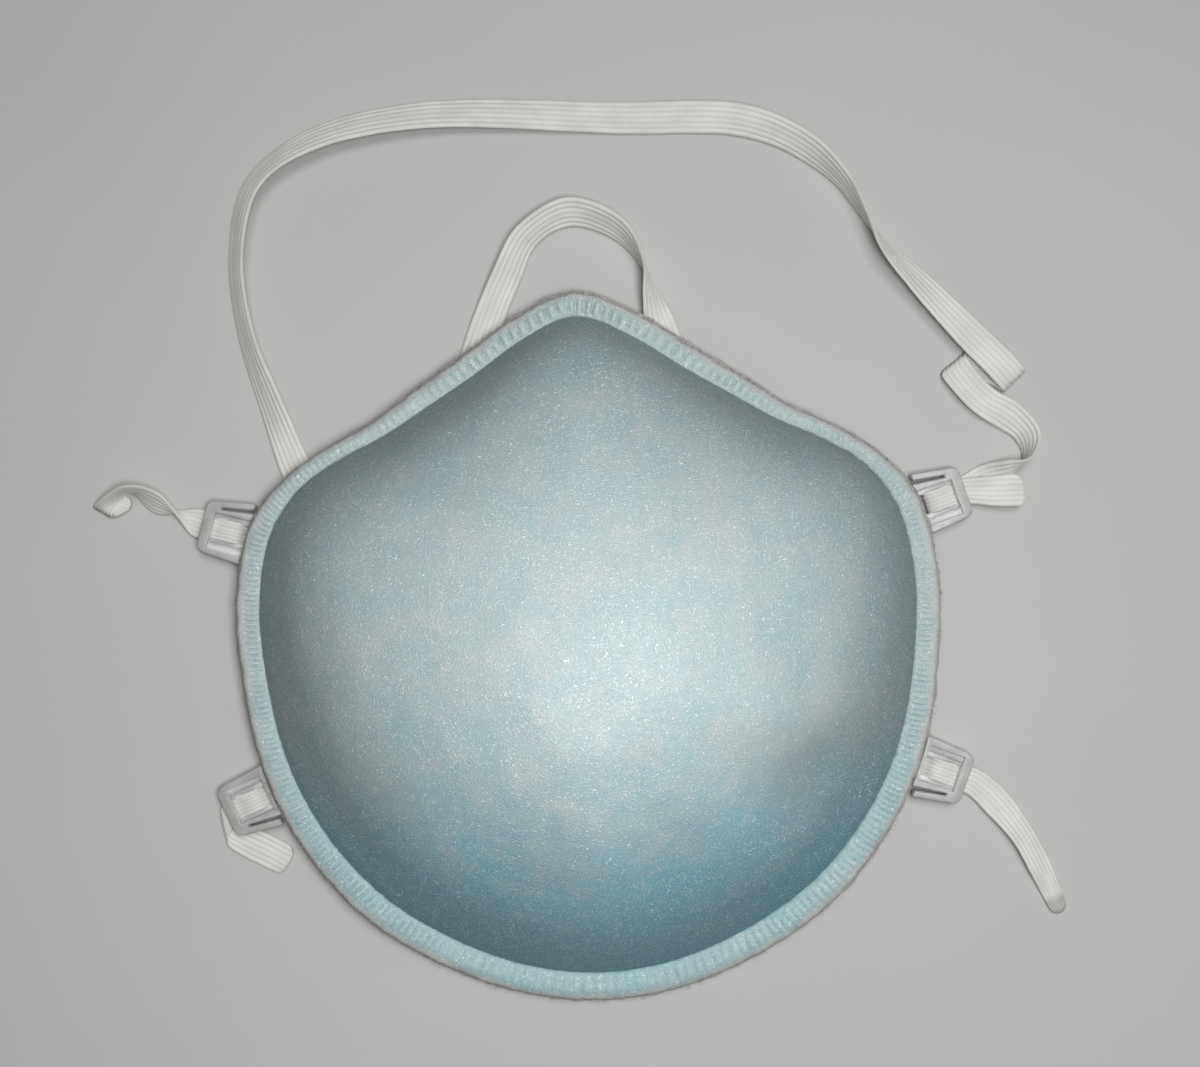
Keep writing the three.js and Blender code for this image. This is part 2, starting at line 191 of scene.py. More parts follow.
# A strap's centre line, and its cross line: x, y, z, heading, slope, width
UPPER_STRAP = (
    (-0.0848, 0.0312, 0.00055, 114, 0, 0.0034),    # hem of the left tail, turned under
    (-0.0900, 0.0293, 0.0010, 148, 0, 0.0040),
    (-0.0847, 0.0332, 0.0031, 90, 80, 0.0058),     # the tail stands on its edge
    (-0.0792, 0.0303, 0.0026, 58, 48, 0.0060),
    *thread_buckle("buckle_upper_left", THREADING, 253),
    (-0.0560, 0.0214, 0.0007, 73, 5, 0.0060),
    (-0.0518, 0.0206, 0.0026, 80, 50, 0.0060),     # turn inside the cup
    (-0.0488, 0.0224, 0.0032, -42, 88, 0.0060),
    (-0.0489, 0.0258, 0.0024, 15, 38, 0.0060),
    (-0.0505, 0.0290, 0.0009, 22, 6, 0.0060),
    (-0.0536, 0.0357, 0.0006, 23, 0, 0.0060),      # out under the rim
    (-0.0574, 0.0476, 0.0021, 17, 35, 0.0060),     # big loop
    (-0.0614, 0.0610, 0.0027, 9, 53, 0.0060),
    (-0.0626, 0.0760, 0.0027, -6, 55, 0.0060),
    (-0.0590, 0.0890, 0.0025, -28, 48, 0.0060),
    (-0.0485, 0.0965, 0.0022, -66, 38, 0.0060),
    (-0.0280, 0.1006, 0.0016, -86, 24, 0.0060),
    (0.0101, 0.0987, 0.0006, -93, 0, 0.0060),
    (0.0330, 0.0970, 0.0014, -101, -18, 0.0060),
    (0.0436, 0.0920, 0.0023, -124, -42, 0.0060),
    (0.0508, 0.0851, 0.0029, -137, -68, 0.0060),
    (0.0546, 0.0783, 0.00315, -150, -88, 0.0060),  # half a twist, on its edge
    (0.0581, 0.0722, 0.0029, 35, -62, 0.0060),
    (0.0640, 0.0657, 0.0022, 42, -35, 0.0060),
    (0.0735, 0.0549, 0.0025, 39, -6, 0.0060),
    (0.0789, 0.0489, 0.00295, 38, 0, 0.0060),      # top layer of the fold
    (0.0814, 0.0461, 0.00175, 42, 0, 0.0059),
    (0.0792, 0.0478, 0.0006, 48, 0, 0.0060),
    (0.0737, 0.0495, 0.00055, 44, 0, 0.0060),      # bottom layer
    (0.0704, 0.0498, 0.00115, 36, 0, 0.0060),
    (0.0722, 0.0464, 0.00175, 42, 0, 0.0058),
    (0.0758, 0.0425, 0.0014, 49, 0, 0.0058),       # middle layer
    (0.0806, 0.0392, 0.0015, 45, 20, 0.0060),
    (0.0834, 0.0355, 0.0025, 15, 48, 0.0060),
    (0.0829, 0.0314, 0.00315, -30, 88, 0.0060),    # last bend, on its edge
    (0.0796, 0.0292, 0.0024, 112, 44, 0.0058),
    (0.0754, 0.0280, 0.00075, 108, 5, 0.0054),
    *thread_buckle("buckle_upper_right", RETURNING, 107),
    (0.0772, 0.0256, 0.0023, 96, 0, 0.0058),       # right tail, over the strap
    (0.0824, 0.0256, 0.0027, 94, 0, 0.0060),
)

LOWER_STRAP = (
    (0.0859, -0.0539, 0.0007, -158, 0, 0.0034),    # right tail
    (0.0841, -0.0493, 0.0006, -158, 0, 0.0038),
    (0.0820, -0.0444, 0.0011, -155, 15, 0.0046),
    (0.0791, -0.0386, 0.0013, -148, 20, 0.0050),
    (0.0749, -0.0328, 0.0009, -136, 8, 0.0056),
    *thread_buckle("buckle_lower_right", THREADING, -112),
    (0.0540, -0.0210, 0.0006, -116, 0, 0.0058),    # inside the cup
    (0.0440, -0.0130, 0.0006, -136, 0, 0.0060),
    (0.0315, 0.0110, 0.0006, -157, 0, 0.0060),
    (0.0215, 0.0380, 0.0006, -162, 0, 0.0060),
    (0.0158, 0.0595, 0.0009, -164, 7, 0.0060),     # out under the rim
    (0.0143, 0.0656, 0.0027, -168, 58, 0.0060),
    (0.0130, 0.0710, 0.00315, 14, 88, 0.0060),     # half a twist, on its edge
    (0.0089, 0.0774, 0.0027, 53, 55, 0.0060),
    (-0.0003, 0.0812, 0.0021, 91, 35, 0.0060),
    (-0.0082, 0.0772, 0.0023, 133, 38, 0.0060),
    (-0.0124, 0.0699, 0.0019, 153, 28, 0.0060),
    (-0.0172, 0.0596, 0.0007, 160, 4, 0.0060),     # in under the rim
    (-0.0245, 0.0380, 0.0006, 161, 0, 0.0060),
    (-0.0335, 0.0110, 0.0006, 157, 0, 0.0060),
    (-0.0445, -0.0130, 0.0006, 137, 0, 0.0060),
    (-0.0540, -0.0215, 0.0006, 118, 0, 0.0058),
    *thread_buckle("buckle_lower_left", THREADING[:0:-1], 112),
    (-0.0699, -0.0308, 0.00105, 97, 0, 0.0056),    # the tail turns under
    (-0.0659, -0.0336, 0.00055, 62, 0, 0.0058),
    (-0.0615, -0.0360, 0.00055, 60, 0, 0.0060),
    (-0.0581, -0.0380, 0.0006, 58, 0, 0.0058),
)

# ---- settings a user would change ----


def colour(name, description, default):
    return bpy.props.FloatVectorProperty(
        name=name, description=description, subtype="COLOR", size=3, min=0, max=1, default=default
    )


def distance(name, description, default):
    return bpy.props.FloatProperty(
        name=name, description=description, unit="LENGTH", min=0, precision=5, default=default
    )


class CupSettings(bpy.types.PropertyGroup):
    pale: colour("Pale fabric", "Fabric over the top of the dome", (0.53, 0.59, 0.585))
    blue: colour("Blue fabric", "Fabric towards the chin and in its blue patches", (0.24, 0.48, 0.56))
    grey: colour("Grey fabric", "Fabric where the blue has worn thin", (0.57, 0.57, 0.56))
    lining: colour("Lining", "Fabric inside the cup", (0.80, 0.81, 0.79))
    unevenness: distance("Unevenness", "Height of the soft waves in the dome", 0.00022)


class RimSettings(bpy.types.PropertyGroup):
    blue: colour("Band", "Ribbed band beside the dome", (0.32, 0.48, 0.50))
    pale: colour("Band edge", "Ribbed band at its outer edge", (0.50, 0.515, 0.50))
    gap: colour("Band gaps", "Pressed gaps between the ribs", (0.22, 0.33, 0.345))
    # Painted shade: the seal is white, and this grey stands for the shade it lies in under the band.
    seal: colour("Seal", "Soft edge that lies on the face", (0.50, 0.49, 0.47))
    ribs: bpy.props.IntProperty(
        name="Ribs", description="Pressed ribs round the band", min=60, max=600, default=300
    )
    rib_depth: distance("Rib depth", "Depth of the gaps between ribs", 0.00034)
    hairs: bpy.props.IntProperty(
        name="Loose fibres", description="Fibres that stand out of the edge", min=0, max=4000, default=1800
    )


class BuckleSettings(bpy.types.PropertyGroup):
    plastic: colour("Plastic", "Milky plastic of the buckles", (0.44, 0.45, 0.435))
    edge: distance("Edge radius", "Rounding of the moulded edges", 0.00022)


class StrapSettings(bpy.types.PropertyGroup):
    elastic: colour("Elastic", "Yarn of the straps", (0.69, 0.68, 0.65))
    thickness: distance("Thickness", "Thickness of the elastic", 0.0008)
    ribs: bpy.props.IntProperty(
        name="Ribs", description="Lengthwise ribs across a strap", min=1, max=16, default=6
    )
    rib_depth: distance("Rib depth", "Depth of the grooves between ribs", 0.00014)


class StageSettings(bpy.types.PropertyGroup):
    floor: colour("Floor", "Plain floor", (0.50, 0.50, 0.49))
    height: distance("Camera height", "Height of the camera above the floor", 0.33)
    overhead: bpy.props.FloatProperty(
        name="Overhead light", description="Strength of the even light from above", min=0, default=1.0
    )
    key: bpy.props.FloatProperty(
        name="Key light", description="Power of the soft light over the dome", min=0, default=1.1
    )


class RespiratorSettings(bpy.types.PropertyGroup):
    cup: bpy.props.PointerProperty(type=CupSettings)
    rim: bpy.props.PointerProperty(type=RimSettings)
    buckle: bpy.props.PointerProperty(type=BuckleSettings)
    strap: bpy.props.PointerProperty(type=StrapSettings)
    stage: bpy.props.PointerProperty(type=StageSettings)


def settings():
    return bpy.context.scene.respirator


# ---- small helpers ----


def smooth_step(low, high, value):
    t = min(max((value - low) / (high - low), 0), 1)
    return t * t * (3 - 2 * t)


def middle_slope(before, here, after, step_in, step_out):
    """Slope at the middle of three values whose knots are unevenly spaced."""
    return (here - before) / step_in - (after - before) / (step_in + step_out) + (after - here) / step_out


def cubic(a, b, slope_a, slope_b, step, t):
    """Cubic between two values with given end slopes, which are per unit of the step."""
    m0, m1 = slope_a * step, slope_b * step
    return a + t * (m0 + t * (3 * (b - a) - 2 * m0 - m1 + t * (2 * (a - b) + m0 + m1)))


def new_object(name, data):
    """An object in the scene."""
    made = bpy.data.objects.new(name, data)
    bpy.context.scene.collection.objects.link(made)
    return made


def as_mesh(bm, name):
    mesh = bpy.data.meshes.new(name)
    bm.to_mesh(mesh)
    bm.free()
    return mesh


def new_piece(bm, name, slot, material, *stands_for):
    """Makes a finished mesh a piece of the part, and hides the CAD nodes it stands for."""
    mesh = as_mesh(bm, name)
    mesh.shade_smooth()
    mesh.materials.append(material)
    piece = new_object(name, mesh)
    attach(piece, BODY)
    if stands_for:
        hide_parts(*stands_for)
    return piece


def welded_copy(node):
    """A CAD node's mesh with its loose triangles joined up."""
    bm = bmesh.new()
    bm.from_mesh(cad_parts[node].data)
    bmesh.ops.remove_doubles(bm, verts=bm.verts, dist=WELD)
    return bm


def pulled_out(section, steps):
    """A closed section of (y, z) points pulled out along X, with a ring at every whole number."""
    bm = bmesh.new()
    ring = [bm.verts.new((0, y, z)) for y, z in section]
    edges = [bm.edges.new(pair) for pair in zip(ring, ring[1:] + ring[:1])]
    made = bmesh.ops.extrude_edge_only(bm, edges=edges)["geom"]
    far = [item for item in made if isinstance(item, bmesh.types.BMVert)]
    bmesh.ops.translate(bm, verts=far, vec=(steps, 0, 0))
    lengthwise = [edge for edge in bm.edges if edge.calc_length() > steps / 2]
    bmesh.ops.subdivide_edges(bm, edges=lengthwise, cuts=steps - 1, use_grid_fill=True)
    return bm


def with_modifier(bm, kind, **values):
    """The mesh after one modifier."""
    mesh = as_mesh(bm, "work")
    work = new_object("work", mesh)
    modifier = work.modifiers.new(kind, kind)
    for key, value in values.items():
        setattr(modifier, key, value)
    done = bmesh.new()
    done.from_object(work, bpy.context.evaluated_depsgraph_get())
    bpy.data.objects.remove(work)
    bpy.data.meshes.remove(mesh)
    return done


# ---- materials ----

MAT_OUTPUTS = ("Relief", "Glints", "Patches", "Tints")
FIBRE_WAYS = ((12, 20), (58, -35), (103, 10), (151, 40))   # heading and tilt of each set of fibres
FIBRE_BEND = 0.0004          # how far the fibres wander
MILK = {
    "Subsurface Weight": 0.8,
    "Subsurface Radius": (0.9, 0.95, 0.85),
    "Subsurface Scale": 0.0025,
    "IOR": 1.5,
}
STITCH_PITCH = 0.00075       # from one slanting stitch of a strap to the next
FAR_FLOOR = (0.16, 0.80)     # the floor grows paler between these distances


def put(tree, kind, values=None, **sockets):
    """Adds a node. Values set its options; sockets, named with _ for a space, are set or joined."""
    node = tree.nodes.new(kind)
    for key, value in (values or {}).items():
        setattr(node, key, value)
    for key, value in sockets.items():
        fill(tree, node.inputs[key.replace("_", " ")], value)
    return node


def fill(tree, socket, value):
    if isinstance(value, bpy.types.NodeSocket):
        tree.links.new(value, socket)
    else:
        socket.default_value = value


def calc(tree, operation, *terms, clamp=False):
    """A Math node's result."""
    node = put(tree, "ShaderNodeMath", {"operation": operation, "use_clamp": clamp})
    for socket, term in zip(node.inputs, terms):
        fill(tree, socket, term)
    return node.outputs[0]


def times(tree, first, second, clamp=False):
    return calc(tree, "MULTIPLY", first, second, clamp=clamp)


def ramp(tree, value, low, high, to_low=0.0, to_high=1.0):
    """A value taken smoothly from one range to another."""
    node = put(
        tree, "ShaderNodeMapRange", {"interpolation_type": "SMOOTHSTEP"},
        Value=value, From_Min=low, From_Max=high, To_Min=to_low, To_Max=to_high,
    )
    return node.outputs["Result"]


def blend(tree, share, first, second):
    """Two colours mixed."""
    node = put(tree, "ShaderNodeMix", {"data_type": "RGBA"})
    fill(tree, node.inputs[0], share)
    for socket, value in ((node.inputs[6], first), (node.inputs[7], second)):
        fill(tree, socket, value if isinstance(value, bpy.types.NodeSocket) else (*value, 1.0))
    return node.outputs[2]


def dimmed(colour_value, share):
    """A colour made darker, or lighter with a share over one."""
    return [share * c for c in colour_value]


def attribute(tree, name):
    """A value stored on the mesh."""
    return put(tree, "ShaderNodeAttribute", {"attribute_name": name}).outputs["Fac"]


def axes(tree, vector):
    """The three parts of a vector."""
    return put(tree, "ShaderNodeSeparateXYZ", Vector=vector).outputs


def vector_calc(tree, operation, *terms):
    """A Vector Math node."""
    node = put(tree, "ShaderNodeVectorMath", {"operation": operation})
    for socket, term in zip(node.inputs, terms):
        fill(tree, socket, term)
    return node


def cloud(tree, vector, size, detail=2.0, rough=0.5):
    """Noise with features of a given size."""
    node = put(
        tree, "ShaderNodeTexNoise", Vector=vector, Scale=1 / size, Detail=detail, Roughness=rough
    )
    return node.outputs["Fac"]


def stretched(tree, vector, scale, heading=0.0, tilt=0.0):
    """A vector turned, and then divided by a size along each axis."""
    turn = (math.radians(tilt), 0.0, math.radians(heading))
    node = put(
        tree, "ShaderNodeMapping", {"vector_type": "TEXTURE"}, Vector=vector, Rotation=turn, Scale=scale
    )
    return node.outputs["Vector"]


def new_group(name, inputs, outputs):
    """A shader node group with its sockets, and its two end nodes."""
    group = bpy.data.node_groups.new(name, "ShaderNodeTree")
    for label, kind, default in inputs:
        socket = group.interface.new_socket(label, in_out="INPUT", socket_type=kind)
        if default is not None:
            socket.default_value = default
    for label, kind in outputs:
        group.interface.new_socket(label, in_out="OUTPUT", socket_type=kind)
    return group, group.nodes.new("NodeGroupInput"), group.nodes.new("NodeGroupOutput")


def fibre_mat():
    """Group: short fibres pressed into a mat, and a mask of specks where the materials paint glints as
    painted highlights.
    """
    name = "Fibre mat"
    if name in bpy.data.node_groups:
        return bpy.data.node_groups[name]
    group, given, result = new_group(
        name,
        [
            ("Vector", "NodeSocketVector", None),
            ("Fibre length", "NodeSocketFloat", 0.0009),
            ("Patch size", "NodeSocketFloat", 0.005),
        ],
        [(label, "NodeSocketFloat") for label in MAT_OUTPUTS],
    )
    vector = given.outputs["Vector"]
    bend = put(group, "ShaderNodeTexNoise", Vector=vector, Scale=900.0, Detail=1.0)
    bent = vector_calc(
        group, "MULTIPLY_ADD", bend.outputs["Color"], (FIBRE_BEND,) * 3, vector
    ).outputs[0]

    length = given.outputs["Fibre length"]
    width = times(group, length, 0.5)
    fibres = cloud(group, bent, 0.00030, detail=2.0, rough=0.7)
    glints = None
    for heading, tilt in FIBRE_WAYS:
        turned = stretched(group, bent, (1.0, 1.0, 1.0), heading, tilt)
        size = put(group, "ShaderNodeCombineXYZ", X=length, Y=width, Z=width).outputs[0]
        sized = vector_calc(group, "DIVIDE", turned, size)
        strand = cloud(group, sized.outputs[0], 1.0, detail=0.0)
        fibres = calc(group, "MAXIMUM", fibres, ramp(group, strand, 0.54, 0.70))
        bright = ramp(group, strand, 0.74, 0.80)
        glints = bright if glints is None else calc(group, "MAXIMUM", glints, bright)
    crowding = ramp(group, cloud(group, vector, 0.0018, detail=2.0), 0.40, 0.66, 0.15, 1.0)
    fill(group, result.inputs["Relief"], fibres)
    fill(group, result.inputs["Glints"], times(group, glints, crowding))

    frequency = calc(group, "DIVIDE", 1.0, given.outputs["Patch size"])
    patches = put(
        group, "ShaderNodeTexNoise", Vector=vector, Scale=frequency, Detail=3.0, Roughness=0.6
    )
    fill(group, result.inputs["Patches"], patches.outputs["Fac"])
    aside = vector_calc(group, "ADD", vector, (0.3, 0.1, 0.2))
    tints = put(
        group, "ShaderNodeTexNoise", Vector=aside.outputs[0], Scale=frequency, Detail=4.0, Roughness=0.65
    )
    fill(group, result.inputs["Tints"], tints.outputs["Fac"])
    return group


def matted(tree, vector, fibre_length, patch_size):
    """The fibre mat placed in a material: its relief, glints, patches and tints."""
    node = put(tree, "ShaderNodeGroup", {"node_tree": fibre_mat()})
    fill(tree, node.inputs["Vector"], vector)
    fill(tree, node.inputs["Fibre length"], fibre_length)
    fill(tree, node.inputs["Patch size"], patch_size)
    return [node.outputs[name] for name in MAT_OUTPUTS]


def new_material(name):
    """A node material, its Principled shader and its Object coordinates."""
    material = bpy.data.materials.new(name)
    material.use_nodes = True
    tree = material.node_tree
    shader = tree.nodes["Principled BSDF"]
    place = tree.nodes.new("ShaderNodeTexCoord").outputs["Object"]
    return material, tree, shader, place


def bumped(tree, shader, height, depth, strength=1.0):
    """Joins a height to the shader's normal."""
    node = put(tree, "ShaderNodeBump", Height=height, Distance=depth, Strength=strength)
    fill(tree, shader.inputs["Normal"], node.outputs["Normal"])


def cup_fabric():
    """Pale blue pressed fabric with painted glints on its fibres and painted shade down its sides, white
    inside the cup.
    """
    cup = settings().cup
    material, tree, shader, place = new_material("Cup fabric")
    relief, glints, patches, tints = matted(tree, place, 0.00046, 0.0060)
    _, y, z = axes(tree, place)
    broad = cloud(tree, place, 0.016, detail=1.0)
    streaks = cloud(tree, stretched(tree, place, (0.0014, 0.016, 0.016)), 1.0, detail=1.0)

    towards_chin = ramp(tree, y, -0.008, -0.046)
    down_the_side = ramp(tree, z, 0.046, 0.008)
    blueness = calc(tree, "MULTIPLY_ADD", patches, 0.9, times(tree, broad, 0.6))
    blueness = calc(tree, "ADD", blueness, times(tree, streaks, 0.25))
    blueness = calc(tree, "MULTIPLY_ADD", towards_chin, 0.75, calc(tree, "SUBTRACT", blueness, 0.70))
    blueness = calc(tree, "MULTIPLY_ADD", down_the_side, 0.15, blueness, clamp=True)
    fabric = blend(tree, blueness, cup.pale, cup.blue)
    fabric = blend(tree, ramp(tree, tints, 0.50, 0.68, 0.0, 0.30), fabric, cup.grey)
    fabric = blend(tree, ramp(tree, tints, 0.50, 0.34, 0.0, 0.30), fabric, (0.44, 0.58, 0.56))
    # Painted shade: the fabric is darkened down the dome's sides, and is bluer towards the chin.
    painted_side_shade = blend(tree, towards_chin, (0.14, 0.18, 0.19), (0.06, 0.21, 0.27))
    fabric = blend(tree, times(tree, down_the_side, 0.70), fabric, painted_side_shade)
    fabric = blend(tree, ramp(tree, relief, 0.50, 0.25, 0.0, 0.22), fabric, (0.20, 0.30, 0.33))
    fabric = blend(tree, ramp(tree, relief, 0.65, 1.0, 0.0, 0.18), fabric, (0.80, 0.86, 0.87))
    # Painted highlights: fixed white glints are mixed into the fabric's colour. The same mask also makes
    # the fabric a little glossier.
    fabric = blend(tree, times(tree, glints, 0.9), fabric, (0.96, 1.0, 1.0))

    lining = attribute(tree, "lining")
    felt = blend(tree, ramp(tree, relief, 0.60, 0.25, 0.0, 0.5), cup.lining, dimmed(cup.lining, 0.72))
    felt = blend(tree, ramp(tree, patches, 0.40, 0.62, 0.0, 0.25), felt, dimmed(cup.lining, 0.85))
    fill(tree, shader.inputs["Base Color"], blend(tree, lining, fabric, felt))
    fill(tree, shader.inputs["Roughness"], calc(tree, "MULTIPLY_ADD", glints, -0.22, 0.48))
    shader.inputs["IOR"].default_value = 1.55
    height = calc(tree, "MULTIPLY_ADD", glints, 0.6, relief)
    bumped(tree, shader, height, 0.00010, 0.8)
    return material


def band_fabric():
    """Pressed band: blue beside the dome and in its gaps, white at its outer edge."""
    rim = settings().rim
    material, tree, shader, place = new_material("Band fabric")
    relief, glints, patches, tints = matted(tree, place, 0.0006, 0.0035)
    across = attribute(tree, "across")
    gap = attribute(tree, "gap")
    mottle = calc(tree, "MULTIPLY_ADD", patches, 1.4, -0.75)
    blueness = calc(tree, "MULTIPLY_ADD", across, 0.85, mottle)
    blueness = times(tree, blueness, ramp(tree, across, 0.0, 0.4), clamp=True)
    _, y, _ = axes(tree, place)
    bluer = ramp(tree, y, 0.010, -0.050, 0.45, 1.0)
    fabric = blend(tree, times(tree, blueness, bluer), rim.pale, rim.blue)
    fabric = blend(tree, ramp(tree, tints, 0.52, 0.68, 0.0, 0.35), fabric, (0.48, 0.55, 0.54))
    fabric = blend(tree, times(tree, gap, 0.55), fabric, rim.gap)
    fabric = blend(tree, ramp(tree, relief, 0.55, 0.25, 0.0, 0.20), fabric, (0.28, 0.36, 0.37))
    fabric = blend(tree, ramp(tree, relief, 0.60, 1.0, 0.0, 0.18), fabric, (0.74, 0.79, 0.79))
    # Painted highlights: fixed white glints are mixed into the band's colour.
    fabric = blend(tree, times(tree, glints, 0.35), fabric, (0.97, 1.0, 1.0))
    fill(tree, shader.inputs["Base Color"], fabric)
    fill(tree, shader.inputs["Roughness"], calc(tree, "MULTIPLY_ADD", glints, -0.20, 0.72))
    bumped(tree, shader, relief, 0.00008, 0.7)
    return material


def seal_fabric():
    """Soft white felted edge, painted grey for the shade it lies in under the band."""
    material, tree, shader, place = new_material("Seal fabric")
    relief, glints, patches, _ = matted(tree, place, 0.0006, 0.004)
    shade = calc(tree, "MULTIPLY_ADD", patches, 0.5, times(tree, relief, 0.4))
    base = settings().rim.seal
    fabric = blend(tree, ramp(tree, shade, 0.2, 0.7), dimmed(base, 0.80), base)
    fabric = blend(tree, ramp(tree, relief, 0.55, 0.25, 0.0, 0.25), fabric, dimmed(base, 0.6))
    # Painted highlights: fixed pale glints are mixed into the seal's colour.
    fabric = blend(tree, times(tree, glints, 0.3), fabric, (0.92, 0.92, 0.92))
    fill(tree, shader.inputs["Base Color"], fabric)
    fill(tree, shader.inputs["Roughness"], ramp(tree, relief, 0.0, 1.0, 0.95, 0.75))
    shader.inputs["Sheen Weight"].default_value = 0.3
    bumped(tree, shader, relief, 0.00020, 1.0)
    return material


def milky_plastic():
    """Translucent milky plastic with a satin moulded skin, painted lighter round its edges and low in its
    recesses.
    """
    material, tree, shader, place = new_material("Milky plastic")
    base = settings().buckle.plastic
    flow = cloud(tree, place, 0.004, detail=2.0)
    milk = blend(tree, ramp(tree, flow, 0.3, 0.7), dimmed(base, 0.86), base)
    # Painted glow: the plastic's colour is lightened where its surface turns edge-on to the view.
    painted_edge_glow = put(tree, "ShaderNodeLayerWeight", Blend=0.35).outputs["Facing"]
    milk = blend(tree, ramp(tree, painted_edge_glow, 0.25, 0.8, 0.0, 0.8), milk, dimmed(base, 1.55))
    _, _, z = axes(tree, place)
    # Painted light: the plastic is lightened low down, in its recesses over the strap, to lift their
    # shade.
    thin = ramp(tree, z, 0.0034, 0.0028, 0.0, 0.55)
    fill(tree, shader.inputs["Base Color"], blend(tree, thin, milk, dimmed(base, 1.45)))
    skin = cloud(tree, place, 0.0006, detail=3.0, rough=0.6)
    fill(tree, shader.inputs["Roughness"], ramp(tree, skin, 0.3, 0.7, 0.32, 0.44))
    for name, value in MILK.items():
        shader.inputs[name].default_value = value
    bumped(tree, shader, skin, 0.00002, 0.5)
    return material


def strap_elastic():
    """Braided elastic: lengthwise ribs crossed by slanting stitches, along the strap's UV map."""
    strap = settings().strap
    material, tree, shader, _ = new_material("Strap elastic")
    uv = put(tree, "ShaderNodeUVMap", {"uv_map": "strap"}).outputs["UV"]
    along, across, _ = axes(tree, uv)
    rib = calc(tree, "FRACT", times(tree, across, float(strap.ribs)))
    side = calc(tree, "ABSOLUTE", calc(tree, "MULTIPLY_ADD", rib, 2.0, -1.0))
    slant = calc(tree, "MULTIPLY_ADD", along, TURN / STITCH_PITCH, times(tree, side, 2.6))
    stitch = calc(tree, "MULTIPLY_ADD", calc(tree, "SINE", slant), 0.5, 0.5)
    groove = ramp(tree, side, 0.40, 1.0)
    tip = attribute(tree, "tip")
    height = calc(tree, "MULTIPLY_ADD", stitch, 0.06, times(tree, groove, -0.6))
    wide = stretched(tree, uv, (0.006, 0.5, 1.0))
    worn = cloud(tree, wide, 1.0, detail=3.0)
    base = strap.elastic
    yarn = blend(tree, ramp(tree, worn, 0.3, 0.7), dimmed(base, 0.88), base)
    # Painted shade: the yarn is darkened in the grooves between the ribs.
    yarn = blend(tree, times(tree, groove, 0.34), yarn, dimmed(base, 0.60))
    yarn = blend(tree, times(tree, stitch, 0.08), yarn, (0.95, 0.94, 0.91))
    yarn = blend(tree, times(tree, tip, 0.85), yarn, dimmed(base, 0.58))
    fill(tree, shader.inputs["Base Color"], yarn)
    fill(tree, shader.inputs["Roughness"], ramp(tree, tip, 0.0, 1.0, 0.78, 0.42))
    shader.inputs["Sheen Weight"].default_value = 0.35
    bumped(tree, shader, height, 0.00005, 0.7)
    return material


def floor_paint():
    """Plain pale floor with the faintest mottle, painted paler far out, as painted light where the lamps
    over the dome fall off.
    """
    material, tree, shader, place = new_material("Floor")
    base = settings().stage.floor
    mottle = ramp(tree, cloud(tree, place, 0.05, detail=4.0), 0.3, 0.7)
    paint = blend(tree, mottle, dimmed(base, 0.985), base)
    # Painted light: the floor's colour grows paler with distance from the middle.
    painted_far_light = ramp(tree, vector_calc(tree, "LENGTH", place).outputs["Value"], *FAR_FLOOR)
    fill(tree, shader.inputs["Base Color"], blend(tree, painted_far_light, paint, (0.86, 0.86, 0.85)))
    shader.inputs["Roughness"].default_value = 0.85
    return material


# ---- straps ----

STRAP_STEP = 0.0008          # along a strap
STRAP_SIDES = 72             # round a strap's section
SEALED_TIP = 0.0045          # flattened end of a strap
TIP_CORNER = 0.0017          # radius of the corners of a strap's end
UPPER_MELT = (0.12, 0.12)    # how grey the melted tips are, first end and last
LOWER_MELT = (1.0, 0.12)


def strap_stations(rows):
    """Smooth stations along a strap: centre, half its cross line, and distance from the start."""
    knots = []
    for x, y, z, heading, slope, width in rows:
        flat = math.cos(math.radians(slope)) * width / 2
        rise = math.sin(math.radians(slope)) * width / 2
        turn = math.radians(heading)
        knots.append((Vector((x, y, z)), Vector((flat * math.cos(turn), flat * math.sin(turn), rise))))
    gaps = [(b[0] - a[0]).length for a, b in zip(knots, knots[1:])]
    steps = [math.sqrt(gap) for gap in gaps]

    def slope_at(k, which):
        if k == 0:
            return (knots[1][which] - knots[0][which]) / steps[0]
        if k == len(knots) - 1:
            return (knots[-1][which] - knots[-2][which]) / steps[-1]
        before, here, after = (knots[j][which] for j in (k - 1, k, k + 1))
        return middle_slope(before, here, after, steps[k - 1], steps[k])

    fine = []
    for k, step in enumerate(steps):
        parts = max(2, round(gaps[k] / (STRAP_STEP / 4)))
        for j in range(parts):
            t = j / parts
            fine.append(tuple(
                cubic(knots[k][w], knots[k + 1][w], slope_at(k, w), slope_at(k + 1, w), step, t)
                for w in (0, 1)
            ))
    fine.append(knots[-1])
    reach = [0.0]
    for a, b in zip(fine, fine[1:]):
        reach.append(reach[-1] + (b[0] - a[0]).length)

    count = round(reach[-1] / STRAP_STEP)
    stations, k = [], 0
    for i in range(count + 1):
        at = reach[-1] * i / count
        while k < len(fine) - 2 and reach[k + 1] < at:
            k += 1
        t = (at - reach[k]) / (reach[k + 1] - reach[k])
        centre, half = (fine[k][w].lerp(fine[k + 1][w], t) for w in (0, 1))
        stations.append((centre, half, at))
    return stations


def strap_section(side, strap):
    """Point of a strap's section, half the width and half the thickness being 1, with its ribs."""
    angle = TURN * side / STRAP_SIDES
    across = math.cos(angle)
    across = math.copysign(abs(across) ** 0.8, across)
    edge = (1 - abs(across) ** 7) ** 0.5
    rib = math.cos(math.pi * (across + 1) / 2 * strap.ribs) ** 2
    groove = 2 * strap.rib_depth / strap.thickness * rib ** 1.5
    return across, math.copysign(edge * (1 - groove * edge), math.sin(angle))


def corner_cut(across, half_width):
    """How far the end of a strap is held back by its rounded corners."""
    out = min(1.0, max(0.0, 1 - (1 - abs(across)) * half_width / TIP_CORNER))
    return TIP_CORNER * (1 - math.sqrt(1 - out * out) + 0.15 * across * across)


